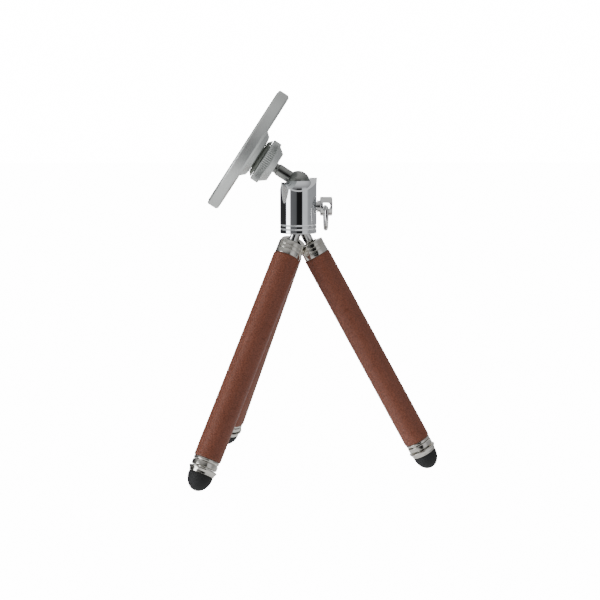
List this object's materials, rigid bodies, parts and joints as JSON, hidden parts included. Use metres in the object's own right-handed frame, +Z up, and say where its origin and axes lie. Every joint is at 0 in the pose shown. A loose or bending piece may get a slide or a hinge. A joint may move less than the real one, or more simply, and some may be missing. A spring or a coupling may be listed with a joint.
{
  "type": "mini tabletop tripod with magnetic phone mount",
  "caption": "Compact tripod and phone grip: magnetic disc on a tilting ball head, chrome barrel with clamp screw, leather-wrapped telescoping folding legs on rubber feet.",
  "frame": {"origin": "centre of the object's box, on the surface that the three feet stand on", "axes": "+Z up along the chrome barrel, +X towards the clamp screw and away from the magnetic disc, +Y away from the front foot"},
  "size_m": [0.1094, 0.0942, 0.1665],
  "materials": {
    "chrome": "mirror-polished chrome plate on a turned body",
    "nickel": "bright nickel plate with fine turning marks",
    "bright_steel": "polished plated steel",
    "aluminium": "fine bead-blasted, anodised silver grey",
    "dark_steel": "satin dark steel",
    "black_nickel": "satin black nickel",
    "brass": "turned brass",
    "magnet": "nickel-plated sintered magnet",
    "leather": "reddish-brown leather with a fine cross grain",
    "foot_rubber": "matt black moulded rubber",
    "pad_rubber": "matt black silicone",
    "polymer": "natural slide polymer"
  },
  "bodies": {
    "barrel": {"barrel": "chrome", "leg_hub": "dark_steel", "hub_screw": "dark_steel"},
    "ball_cup": {"brake_cup": "brass"},
    "ball": {"ball_stem": "dark_steel", "stem_screw": "dark_steel"},
    "nut": {"lock_nut": "aluminium"},
    "disc": {"swivel_bush": "black_nickel", "disc_boss": "aluminium", "disc_shell": "aluminium", "shield_plate": "dark_steel", "magnet_ring": "magnet", "face_pad": "pad_rubber"},
    "screw": {"clamp_screw": "bright_steel"},
    "ring": {"pull_ring": "bright_steel"},
    "right_leg": {"right_ferrule": "nickel", "right_hinge_pin": "bright_steel", "right_outer_tube": "aluminium", "right_leather_sleeve": "leather", "right_lower_collar": "nickel"},
    "right_middle": {"right_mid_tube": "bright_steel", "right_mid_bushing": "polymer", "right_mid_collar": "nickel"},
    "right_foot": {"right_inner_tube": "bright_steel", "right_inner_bushing": "polymer", "right_foot_flange": "nickel", "right_rubber_foot": "foot_rubber"},
    "front_leg": {"front_ferrule": "nickel", "front_hinge_pin": "bright_steel", "front_outer_tube": "aluminium", "front_leather_sleeve": "leather", "front_lower_collar": "nickel"},
    "front_middle": {"front_mid_tube": "bright_steel", "front_mid_bushing": "polymer", "front_mid_collar": "nickel"},
    "front_foot": {"front_inner_tube": "bright_steel", "front_inner_bushing": "polymer", "front_foot_flange": "nickel", "front_rubber_foot": "foot_rubber"},
    "rear_leg": {"rear_ferrule": "nickel", "rear_hinge_pin": "bright_steel", "rear_outer_tube": "aluminium", "rear_leather_sleeve": "leather", "rear_lower_collar": "nickel"},
    "rear_middle": {"rear_mid_tube": "bright_steel", "rear_mid_bushing": "polymer", "rear_mid_collar": "nickel"},
    "rear_foot": {"rear_inner_tube": "bright_steel", "rear_inner_bushing": "polymer", "rear_foot_flange": "nickel", "rear_rubber_foot": "foot_rubber"}
  },
  "joints": [
    {"name": "ball_swivel", "type": "hinge", "parent": "barrel", "child": "ball_cup", "pos_m": [-0.00717, -0.00438, 0.12684], "axis": [0, 0, 1], "range_deg": [-3, 3]},
    {"name": "ball_tilt", "type": "hinge", "parent": "ball_cup", "child": "ball", "pos_m": [-0.00717, -0.00438, 0.12684], "axis": [0, 1, 0], "range_deg": [-32, 92]},
    {"name": "nut_turn", "type": "hinge", "parent": "ball", "child": "nut", "pos_m": [-0.01974, -0.00438, 0.13503], "axis": [-0.8377, 0, 0.5461], "continuous": true},
    {"name": "disc_turn", "type": "hinge", "parent": "ball", "child": "disc", "pos_m": [-0.02811, -0.00438, 0.14049], "axis": [-0.8377, 0, 0.5461], "continuous": true},
    {"name": "clamp_turn", "type": "hinge", "parent": "barrel", "child": "screw", "pos_m": [0.00183, -0.00438, 0.11654], "axis": [1, 0, 0], "continuous": true},
    {"name": "ring_swing", "type": "hinge", "parent": "screw", "child": "ring", "pos_m": [0.00483, -0.00438, 0.11599], "axis": [0, 1, 0], "range_deg": [-80, 12]},
    {"name": "right_leg_fold", "type": "hinge", "parent": "barrel", "child": "right_leg", "pos_m": [0.00021, -0.00489, 0.09644], "axis": [-0.0454, -0.999, 0], "range_deg": [-28, 0]},
    {"name": "right_middle_slide", "type": "slide", "parent": "right_leg", "child": "right_middle", "axis": [0.4767, -0.0216, -0.8788], "range_m": [0, 0.074]},
    {"name": "right_foot_slide", "type": "slide", "parent": "right_middle", "child": "right_foot", "axis": [0.4767, -0.0216, -0.8788], "range_m": [0, 0.074]},
    {"name": "front_leg_fold", "type": "hinge", "parent": "barrel", "child": "front_leg", "pos_m": [-0.01183, -0.01013, 0.09644], "axis": [-0.6455, 0.7638, 0], "range_deg": [-28, 0]},
    {"name": "front_middle_slide", "type": "slide", "parent": "front_leg", "child": "front_middle", "axis": [-0.3645, -0.308, -0.8788], "range_m": [0, 0.074]},
    {"name": "front_foot_slide", "type": "slide", "parent": "front_middle", "child": "front_foot", "axis": [-0.3645, -0.308, -0.8788], "range_m": [0, 0.074]},
    {"name": "rear_leg_fold", "type": "hinge", "parent": "barrel", "child": "rear_leg", "pos_m": [-0.01053, 0.00222, 0.09644], "axis": [0.8049, 0.5934, 0], "range_deg": [-28, 0]},
    {"name": "rear_middle_slide", "type": "slide", "parent": "rear_leg", "child": "rear_middle", "axis": [-0.2832, 0.3841, -0.8788], "range_m": [0, 0.074]},
    {"name": "rear_foot_slide", "type": "slide", "parent": "rear_middle", "child": "rear_foot", "axis": [-0.2832, 0.3841, -0.8788], "range_m": [0, 0.074]}
  ]
}
